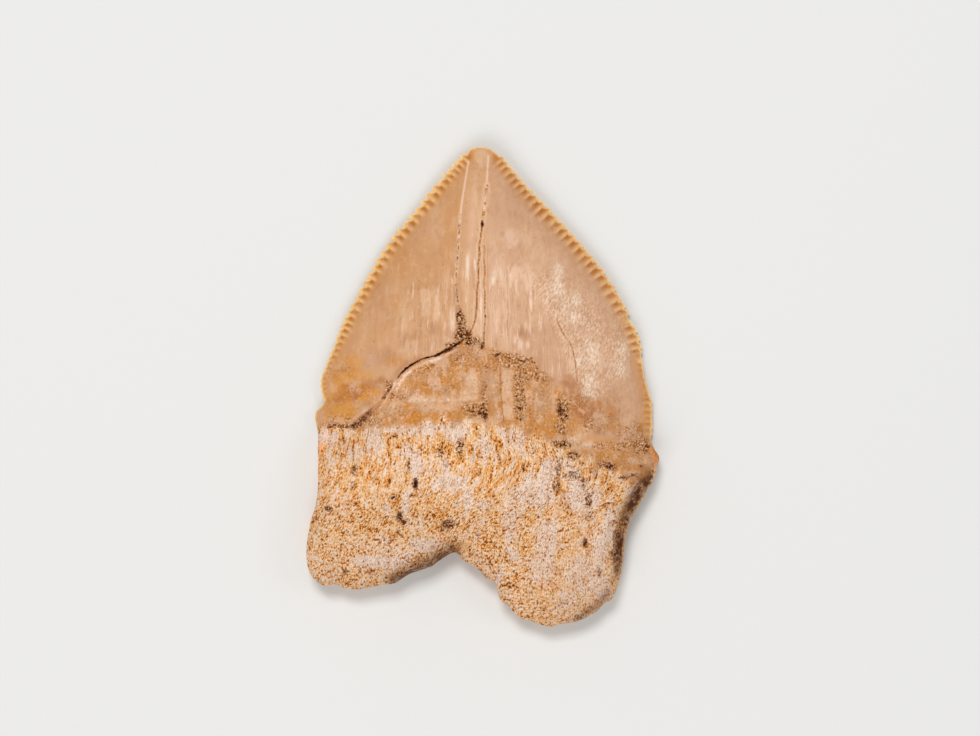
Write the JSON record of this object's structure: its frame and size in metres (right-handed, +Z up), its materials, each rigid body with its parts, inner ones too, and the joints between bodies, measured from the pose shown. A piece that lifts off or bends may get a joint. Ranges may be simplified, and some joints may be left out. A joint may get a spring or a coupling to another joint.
{
  "type": "fossil shark tooth",
  "caption": "Broad triangular shark tooth with finely serrated edges on a thick, porous two-lobed root, fossilised, lying flat.",
  "frame": {"origin": "under the middle of the tooth's outline, on the surface it lies on", "axes": "+Z up, the side of the rounded face; +Y from the root to the crown's point; +X to the right of the rounded face"},
  "size_m": [0.0198, 0.027, 0.0047],
  "materials": {
    "tooth": "glossy tan enamel on the crown, rough porous pale root"
  },
  "bodies": {
    "root": {"shark_tooth": "tooth"}
  },
  "joints": []
}
